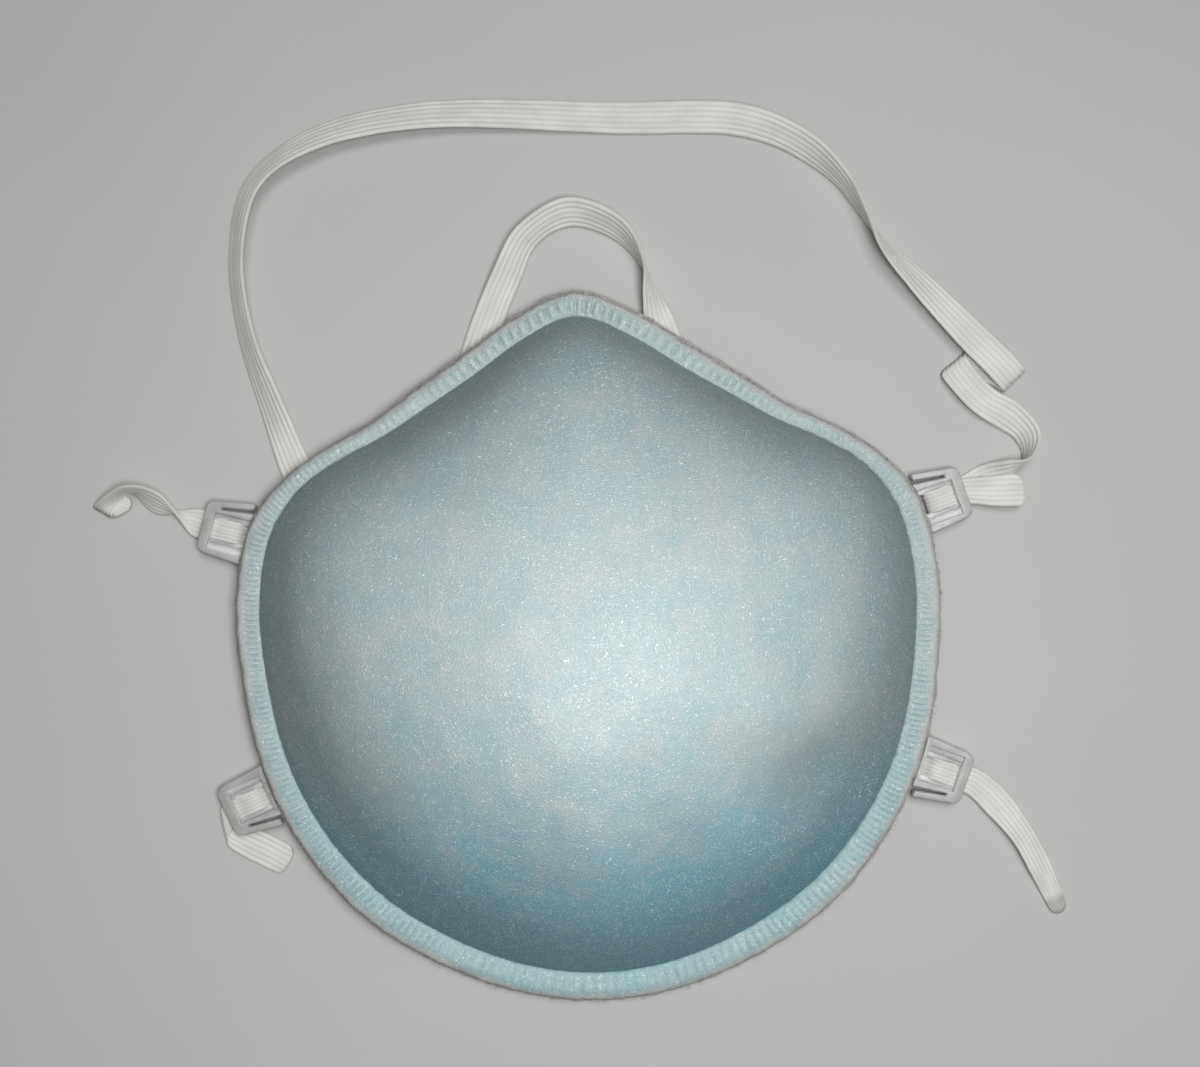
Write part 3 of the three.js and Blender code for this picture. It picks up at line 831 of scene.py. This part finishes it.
def make_strap(name, rows, node, material, melted):
    """A strap is pulled out straight with its ribs, and then laid along its route.

    Melted says how grey the first and the last tip are.
    """
    strap = settings().strap
    stations = strap_stations(rows)
    last = len(stations) - 1
    length = stations[-1][2]
    section = [strap_section(side, strap) for side in range(STRAP_SIDES)]

    bm = pulled_out(section, last)
    for end in (0, last):
        rim = [e for e in bm.edges if e.is_boundary and abs(e.verts[0].co.x - end) < 0.5]
        bmesh.ops.contextual_create(bm, geom=rim)
    bmesh.ops.recalc_face_normals(bm, faces=bm.faces)

    uv = bm.loops.layers.uv.new("strap")
    tip_layer = bm.verts.layers.float.new("tip")
    for face in bm.faces:
        for loop in face.loops:
            x, across, _ = loop.vert.co
            loop[uv].uv = (x / last * length, (across + 1) / 2)

    seed = Vector((len(rows), length * 50, 0))
    for vert in bm.verts:
        i = round(vert.co.x)
        _, across, up = vert.co
        centre, half, at = stations[i]
        before, after = stations[max(i - 1, 0)][0], stations[min(i + 1, last)][0]
        out = (after - before).cross(half).normalized()
        from_end = min(at, length - at)
        soft = smooth_step(0, SEALED_TIP, from_end)
        thick = strap.thickness / 2 * (0.55 + 0.45 * soft)
        browned = 1 - smooth_step(0.6 * SEALED_TIP, 0.8 * SEALED_TIP, from_end)
        vert[tip_layer] = browned * melted[0 if at < length / 2 else 1]
        back = (after - before).normalized() * (1 if at < length / 2 else -1)
        held = corner_cut(across, half.length) * max(0.0, 1 - from_end / (2 * TIP_CORNER))
        crumple = noise.noise(Vector((at * 900, across * 1.5, 0)) + seed) * 0.00022 * (1 - soft)
        wobble = noise.noise(Vector((at * 160, 0.5, 7)) + seed) * 0.03
        fray = noise.noise(Vector((at * 1100, across, 3)) + seed) * 0.012 * abs(across) ** 4
        cupped = (across * across - 0.5) * 0.00010
        centre = centre + back * held
        vert.co = centre + half * (across * (1 + wobble + fray)) + out * (up * thick + crumple + cupped)
    piece = new_piece(bm, name, "strap_elastic", material, node)
    path = [centre for centre, _, _ in stations[::3]]
    if last % 3:
        path.append(stations[-1][0])
    return piece


# ---- moulded cup ----

CUP_MIDDLE = Vector((0, -0.008, -0.03))
TOP_REACH = 0.016            # the top of the dome is smoothed out to here
TOP_PASSES = 40
DOME_FOOT = (0.008, 0.016)   # the dome's unevenness fades in between these heights
SHORT_CREASE = (Vector((-0.0268, 0.0006)), 0.0032, 0.0007, 0.00028)   # middle, half length, width, depth
# The dome's shoulder stands out a little over a steeper side: bearing, height, how far inside the rim
SHOULDER = (
    (-180, 0.00020, 0.020),
    (-150, 0.00055, 0.021),
    (-120, 0.00095, 0.025),
    (-90, 0.00075, 0.023),
    (-60, 0.00075, 0.018),
    (-30, 0.00080, 0.015),
    (0, 0.00050, 0.014),
    (30, 0.00080, 0.015),
    (60, 0.00020, 0.018),
    (90, 0.00040, 0.020),
    (112, 0.00130, 0.026),
    (135, 0.00070, 0.024),
    (160, 0.00030, 0.020),
    (180, 0.00020, 0.020),
)
# The dent at the lower right, and the swelling beside it: middle, radius, height
DENT = (
    (Vector((0.0290, -0.0060)), 0.008, 0.00110),
    (Vector((0.0385, -0.0205)), 0.009, -0.00200),
)


def crease_depth(x, y):
    """A short crease pressed into the dome."""
    middle, half_length, width, depth = SHORT_CREASE
    along, across = x - middle.x, y - middle.y - 0.25 * (x - middle.x)
    return depth * math.exp(-((along / half_length) ** 4) - (across / width) ** 2)


def shoulder_height(x, y):
    """How far the dome's surface moves out at the shoulder, or in below it."""
    bearing = math.degrees(math.atan2(x, y))
    inside = outline_value(bearing, 1) - math.hypot(x, y)
    height = from_table([row[:2] for row in SHOULDER], bearing)
    reach = from_table([row[::2] for row in SHOULDER], bearing)
    out = math.exp(-(((inside - reach) / (0.38 * reach)) ** 2))
    total = height * (out - 0.8 * math.exp(-(((inside - 0.4 * reach) / (0.25 * reach)) ** 2)))
    for middle, radius, rise in DENT:
        total += rise * math.exp(-(((x - middle.x) ** 2 + (y - middle.y) ** 2) / radius ** 2))
    return total


def make_cup():
    """The dome and its lining, smoothed from the moulded shell and given a soft unevenness."""
    cup = settings().cup
    bm = welded_copy("shell")
    bmesh.ops.join_triangles(
        bm, faces=bm.faces, angle_face_threshold=math.pi, angle_shape_threshold=math.pi
    )
    bm = with_modifier(bm, "SUBSURF", levels=2, render_levels=2)
    top = [v for v in bm.verts if (v.co - CUP_MIDDLE).xy.length < TOP_REACH and v.co.z > 0.03]
    for _ in range(TOP_PASSES):
        bmesh.ops.smooth_vert(bm, verts=top, factor=0.5, use_axis_x=True, use_axis_y=True, use_axis_z=True)
    bm.normal_update()
    lining = bm.verts.layers.float.new("lining")
    moves = []
    for vert in bm.verts:
        inside = vert.normal.dot(vert.co - CUP_MIDDLE) < 0
        vert[lining] = float(inside)
        wave = noise.noise(vert.co * 85) + 0.5 * noise.noise(vert.co * 210)
        high = smooth_step(*DOME_FOOT, vert.co.z)
        rise = wave * cup.unevenness * high
        if not inside:
            rise -= crease_depth(vert.co.x, vert.co.y)
        shoulder = shoulder_height(vert.co.x, vert.co.y) * high
        moves.append(vert.normal * (rise - shoulder if inside else rise + shoulder))
    for vert, move in zip(bm.verts, moves):
        vert.co += move
    return new_piece(bm, "cup", "shell_fabric", cup_fabric(), "shell")


# ---- rim ----


def outline_value(bearing, column):
    """Radius or band width at a bearing; the table is level at its first and last row."""
    at = abs((bearing + 540) % 360 - 180)
    k = next((i for i, row in enumerate(OUTLINE) if row[0] >= at and i > 0), len(OUTLINE) - 1)

    def slope(j):
        if j in (0, len(OUTLINE) - 1):
            return 0.0
        before, here, after = OUTLINE[j - 1], OUTLINE[j], OUTLINE[j + 1]
        step_in, step_out = here[0] - before[0], after[0] - here[0]
        return middle_slope(before[column], here[column], after[column], step_in, step_out)

    low, high = OUTLINE[k - 1], OUTLINE[k]
    step = high[0] - low[0]
    return cubic(low[column], high[column], slope(k - 1), slope(k), step, (at - low[0]) / step)


def from_table(table, bearing):
    """A value between the rows of a table of bearings."""
    at = (bearing + 180) % 360 - 180
    for (low, before), (high, after) in zip(table, table[1:]):
        if at <= high:
            return before + (after - before) * smooth_step(low, high, at)
    return table[-1][1]


def rim_lift(bearing):
    away = abs((bearing + 540) % 360 - 180)
    return RIM_LIFT * (1 - smooth_step(*CHIN_DIP, away))


def walk_rim(count):
    """Even stations round the rim: place, way inwards, stretch of the band, bearing, distance."""
    fine = []
    for i in range(360 * STEPS_PER_DEGREE):
        bearing = i / STEPS_PER_DEGREE
        radius, turn = outline_value(bearing, 1), math.radians(bearing)
        fine.append(Vector((radius * math.sin(turn), radius * math.cos(turn))))
    reach = [0.0]
    for a, b in zip(fine, fine[1:] + fine[:1]):
        reach.append(reach[-1] + (b - a).length)
    stations, k = [], 0
    for i in range(count):
        at = reach[-1] * i / count
        while reach[k + 1] < at:
            k += 1
        t = (at - reach[k]) / (reach[k + 1] - reach[k])
        bearing = (k + t) / STEPS_PER_DEGREE
        place = fine[k].lerp(fine[(k + 1) % len(fine)], t)
        ahead = (fine[(k + 3) % len(fine)] - fine[k - 2]).normalized()
        inward = Vector((ahead.y, -ahead.x))
        lean = -inward.dot(place.normalized())
        stretch = outline_value(bearing, 2) * lean / MEAN_BAND
        stations.append((place, inward, stretch, bearing, at))
    return stations


def close_ring(bm):
    """Joins the two ends of a strip that has been laid round the rim."""
    bmesh.ops.remove_doubles(bm, verts=[v for v in bm.verts if v.is_boundary], dist=WELD)
    bmesh.ops.recalc_face_normals(bm, faces=bm.faces)


def make_band():
    """The band folded over the flange, with pressed gaps between its ribs."""
    rim = settings().rim
    count = rim.ribs * STEPS_PER_RIB
    stations = walk_rim(count)
    round_rim = stations[-1][4] * count / (count - 1)
    bm = pulled_out(BAND_SECTION, count)
    across_layer = bm.verts.layers.float.new("across")
    gap_layer = bm.verts.layers.float.new("gap")
    for vert in bm.verts:
        place, inward, stretch, bearing, at = stations[round(vert.co.x) % count]
        _, inset, height = vert.co
        across = inset / MEAN_BAND
        spot = place.to_3d() * 60
        upper = smooth_step(0.0034, 0.0046, height)
        white = from_table(WHITE_EDGE, bearing) + 0.10 * noise.noise(spot * 4)
        pressing = from_table(RIB_PRESSING, bearing) * (1 + 0.7 * noise.noise(spot * 3))
        drift = 0.9 * noise.noise(spot) + 0.25 * noise.noise(spot * 6)
        slant = 0.5 * noise.noise(spot * 1.7) * across
        turns = at / round_rim - RIB_CROWDING / (2 * TURN) * math.sin(2 * TURN * at / round_rim)
        phase = math.cos(math.pi * (turns * rim.ribs + drift + slant)) ** 2
        long = smooth_step(white + 0.02, white + 0.16, across) * (1 - smooth_step(0.84, 1.02, across))
        gap = min(1.2 * phase ** 2 * pressing * upper * long, 1.0)
        swell = (1 - phase) * 0.00008 * pressing * long
        lump = noise.noise(spot * 4 + Vector((0, 0, height * 400))) * 0.00016
        fold = -0.00022 * math.exp(-(((across - white) / 0.07) ** 2))
        inner = smooth_step(0.80, 1.04, across)
        wander = noise.noise(spot * 8) * 0.00016 * inner
        outer = 1 - smooth_step(0.1, 0.35, across)
        ragged = (noise.noise(spot * 7 + Vector((5, 0, 0))) * 0.00022 + phase * 0.00010) * outer
        vert[across_layer] = smooth_step(white - 0.10, white + 0.12, across)
        vert[gap_layer] = gap
        flat = place + inward * (inset * stretch + wander + ragged)
        rise = (swell + lump + fold - gap * rim.rib_depth) * upper
        vert.co = (flat.x, flat.y, height + rim_lift(bearing) + rise)
    close_ring(bm)
    return new_piece(bm, "ribbed_band", "band_fabric", band_fabric(), "rim_band")


def make_seal():
    """The soft edge under the band, a little ragged outside."""
    stations = walk_rim(SEAL_STEPS)
    bm = pulled_out(SEAL_SECTION, SEAL_STEPS)
    for vert in bm.verts:
        place, inward, _, bearing, at = stations[round(vert.co.x) % SEAL_STEPS]
        _, inset, height = vert.co
        edge = 1 - smooth_step(0.0002, 0.0014, inset)
        ragged = noise.noise(Vector((at * 900, height * 900, 2))) * 0.00020
        ragged += noise.noise(Vector((at * 280, 0, 8))) * 0.00032
        flat = place + inward * (inset + (ragged - 0.00022) * edge)
        vert.co = (flat.x, flat.y, height + rim_lift(bearing))
    close_ring(bm)
    return new_piece(bm, "soft_seal", "seal_fabric", seal_fabric(), "face_seal")


def make_loose_fibres():
    """Short fibres that stand out of the seal and the band's outer edge."""
    draw = random.Random(FIBRE_SEED)
    stations = walk_rim(FIBRE_SPOTS)
    bm = bmesh.new()
    for _ in range(settings().rim.hairs):
        place, inward, _, bearing, _ = draw.choice(stations)
        length = draw.uniform(0.0005, 0.0014)
        height = rim_lift(bearing) + draw.uniform(0.0003, 0.0030)
        outward = Vector((-inward.x, -inward.y, draw.uniform(-0.5, 0.6)))
        outward += Vector((inward.y, -inward.x, 0)) * draw.uniform(-1.4, 1.4)
        outward.normalize()
        root = Vector((place.x, place.y, height)) + Vector((inward.x, inward.y, 0)) * 0.0005
        middle = root + outward * length / 2
        middle.z = max(middle.z, 0.0006)
        lean = outward.to_track_quat("Z", "Y").to_matrix().to_4x4()
        bmesh.ops.create_cone(
            bm, cap_ends=True, segments=3, radius1=FIBRE_RADII[0], radius2=FIBRE_RADII[1],
            depth=length, matrix=Matrix.Translation(middle) @ lean,
        )
    return new_piece(bm, "loose_fibres", "seal_fabric", seal_fabric())


# ---- buckles ----

# Flats beside the strap in a buckle's own frame, each from and to
FLAT_X = (-0.0086, -0.0018)
FLAT_Y = (0.00185, 0.0031)   # on both sides of the middle
FLAT_Z = (0.0013, 0.00252)
SHARP_EDGE = math.radians(35)


def add_block(bm, low, high):
    """A block between two corners."""
    size = Vector(high) - Vector(low)
    middle = (Vector(high) + Vector(low)) / 2
    made = bmesh.ops.create_cube(bm, size=1)
    bmesh.ops.scale(bm, verts=made["verts"], vec=size)
    bmesh.ops.translate(bm, verts=made["verts"], vec=middle)
    return made["verts"]


def make_buckle(node, material):
    """A moulded buckle: the CAD buckle with flats beside its strap and its edges rounded."""
    bm = welded_copy(node)
    bmesh.ops.dissolve_limit(
        bm, angle_limit=math.radians(2), verts=bm.verts, edges=bm.edges, use_dissolve_boundaries=False
    )
    x, y, heading = BUCKLES[node]
    way_out = Matrix.Translation((x, y, 0)) @ Matrix.Rotation(math.radians(heading), 4, "Z")
    near, far = FLAT_Y
    for low, high in ((near, far), (-far, -near)):
        flat = add_block(bm, (FLAT_X[0], low, FLAT_Z[0]), (FLAT_X[1], high, FLAT_Z[1]))
        bmesh.ops.transform(bm, matrix=way_out, verts=flat)
    sharp = [e for e in bm.edges if len(e.link_faces) == 2 and e.calc_face_angle() > SHARP_EDGE]
    bmesh.ops.bevel(
        bm, geom=sharp, offset=settings().buckle.edge, offset_type="OFFSET", segments=3,
        profile=0.5, affect="EDGES", clamp_overlap=True, material=-1,
    )
    bmesh.ops.triangulate(bm, faces=[face for face in bm.faces if len(face.verts) > 4])
    return new_piece(bm, node + "_moulding", "buckle_plastic", material, node)


# ---- stage ----

CAMERA_OVER = (0.0028, 0.0210)
CAMERA_TURN = math.radians(-2.58)
VIEW_WIDTH = 0.222           # width seen at the height of the rim
RIM_HEIGHT = 0.005
SENSOR = 36.0
LIGHT_AIM = (0.0, 0.0, 0.03)
OVERHEAD_PLACE = (0.12, 0.34, 1.0)
OVERHEAD_SPREAD = math.radians(25)
KEY_PLACE = (0.055, 0.0, 0.40)
KEY_SIZE = 0.14
GAMMA = 0.86
EXPOSURE = 0.05
FLOOR_RADIUS = 4.0


def make_camera():
    """A camera straight over the part."""
    height = settings().stage.height
    data = bpy.data.cameras.new("camera")
    data.sensor_width = SENSOR
    data.lens = SENSOR * (height - RIM_HEIGHT) / VIEW_WIDTH
    data.clip_start = 0.01
    camera = new_object("camera", data)
    camera.location = (*CAMERA_OVER, height)
    camera.rotation_euler = (0, 0, CAMERA_TURN)
    bpy.context.scene.camera = camera


def add_light(kind, name, place, power, **values):
    """A light that faces the dome."""
    data = bpy.data.lights.new(name, kind)
    data.energy = power
    for key, value in values.items():
        setattr(data, key, value)
    light = new_object(name, data)
    light.location = place
    light.rotation_euler = (Vector(LIGHT_AIM) - Vector(place)).to_track_quat("-Z", "Y").to_euler()


def pale_surroundings():
    """A weak even fill, seen by the camera as a pale wall."""
    world = bpy.data.worlds.new("surroundings")
    world.use_nodes = True
    tree = world.node_tree
    seen = tree.nodes.new("ShaderNodeLightPath").outputs["Is Camera Ray"]
    background = tree.nodes["Background"]
    background.inputs["Color"].default_value = (0.96, 0.98, 1.0, 1.0)
    fill(tree, background.inputs["Strength"], calc(tree, "MULTIPLY_ADD", seen, 0.22, 0.08))
    bpy.context.scene.world = world


def make_stage():
    """Camera, soft lights, pale surroundings and a plain floor."""
    make_camera()
    stage = settings().stage
    add_light("SUN", "overhead", OVERHEAD_PLACE, stage.overhead, angle=OVERHEAD_SPREAD)
    add_light("AREA", "key", KEY_PLACE, stage.key, size=KEY_SIZE)
    pale_surroundings()
    view = bpy.context.scene.view_settings
    view.view_transform = "Standard"
    view.gamma = GAMMA
    view.exposure = EXPOSURE

    bm = bmesh.new()
    bmesh.ops.create_circle(bm, cap_ends=True, segments=96, radius=FLOOR_RADIUS)
    mesh = as_mesh(bm, "floor")
    mesh.materials.append(floor_paint())
    new_object("floor", mesh)


# ---- operators, panel and registration ----


class RESPIRATOR_OT_stage(bpy.types.Operator):
    """Set up the camera, lights and floor"""

    bl_idname = "respirator.stage"
    bl_label = "Stage"

    def execute(self, context):
        make_stage()
        return {"FINISHED"}


class RESPIRATOR_OT_straps(bpy.types.Operator):
    """Lay the two elastic straps along their routes"""

    bl_idname = "respirator.straps"
    bl_label = "Straps"

    def execute(self, context):
        elastic = strap_elastic()
        make_strap("upper_elastic", UPPER_STRAP, "upper_strap", elastic, UPPER_MELT)
        make_strap("lower_elastic", LOWER_STRAP, "lower_strap", elastic, LOWER_MELT)
        return {"FINISHED"}


class RESPIRATOR_OT_cup(bpy.types.Operator):
    """Make the moulded fabric cup"""

    bl_idname = "respirator.cup"
    bl_label = "Cup"

    def execute(self, context):
        make_cup()
        return {"FINISHED"}


class RESPIRATOR_OT_rim(bpy.types.Operator):
    """Make the ribbed band, the soft seal and the fibres that stand out of them"""

    bl_idname = "respirator.rim"
    bl_label = "Rim"

    def execute(self, context):
        make_band()
        make_seal()
        make_loose_fibres()
        return {"FINISHED"}


class RESPIRATOR_OT_buckles(bpy.types.Operator):
    """Round and finish the four buckles"""

    bl_idname = "respirator.buckles"
    bl_label = "Buckles"

    def execute(self, context):
        plastic = milky_plastic()
        for node in BUCKLES:
            make_buckle(node, plastic)
        return {"FINISHED"}


OPERATORS = (
    RESPIRATOR_OT_stage,
    RESPIRATOR_OT_straps,
    RESPIRATOR_OT_cup,
    RESPIRATOR_OT_rim,
    RESPIRATOR_OT_buckles,
)


class RESPIRATOR_PT_panel(bpy.types.Panel):
    """Settings and pieces of the respirator"""

    bl_idname = "RESPIRATOR_PT_panel"
    bl_label = "Respirator"
    bl_space_type = "VIEW_3D"
    bl_region_type = "UI"
    bl_category = "Respirator"

    def draw(self, context):
        for group in ("stage", "strap", "cup", "rim", "buckle"):
            box = self.layout.box()
            box.label(text=group.capitalize())
            values = getattr(context.scene.respirator, group)
            for key in values.__annotations__:
                box.prop(values, key)
        for operator in OPERATORS:
            self.layout.operator(operator.bl_idname)


CLASSES = (
    CupSettings,
    RimSettings,
    BuckleSettings,
    StrapSettings,
    StageSettings,
    RespiratorSettings,
    *OPERATORS,
    RESPIRATOR_PT_panel,
)


def register():
    for cls in CLASSES:
        bpy.utils.register_class(cls)
    bpy.types.Scene.respirator = bpy.props.PointerProperty(type=RespiratorSettings)


def unregister():
    del bpy.types.Scene.respirator
    for cls in reversed(CLASSES):
        bpy.utils.unregister_class(cls)


def main():
    register()
    bpy.ops.respirator.stage()
    bpy.ops.respirator.straps()
    bpy.ops.respirator.cup()
    bpy.ops.respirator.rim()
    bpy.ops.respirator.buckles()


if __name__ == "__main__":
    main()
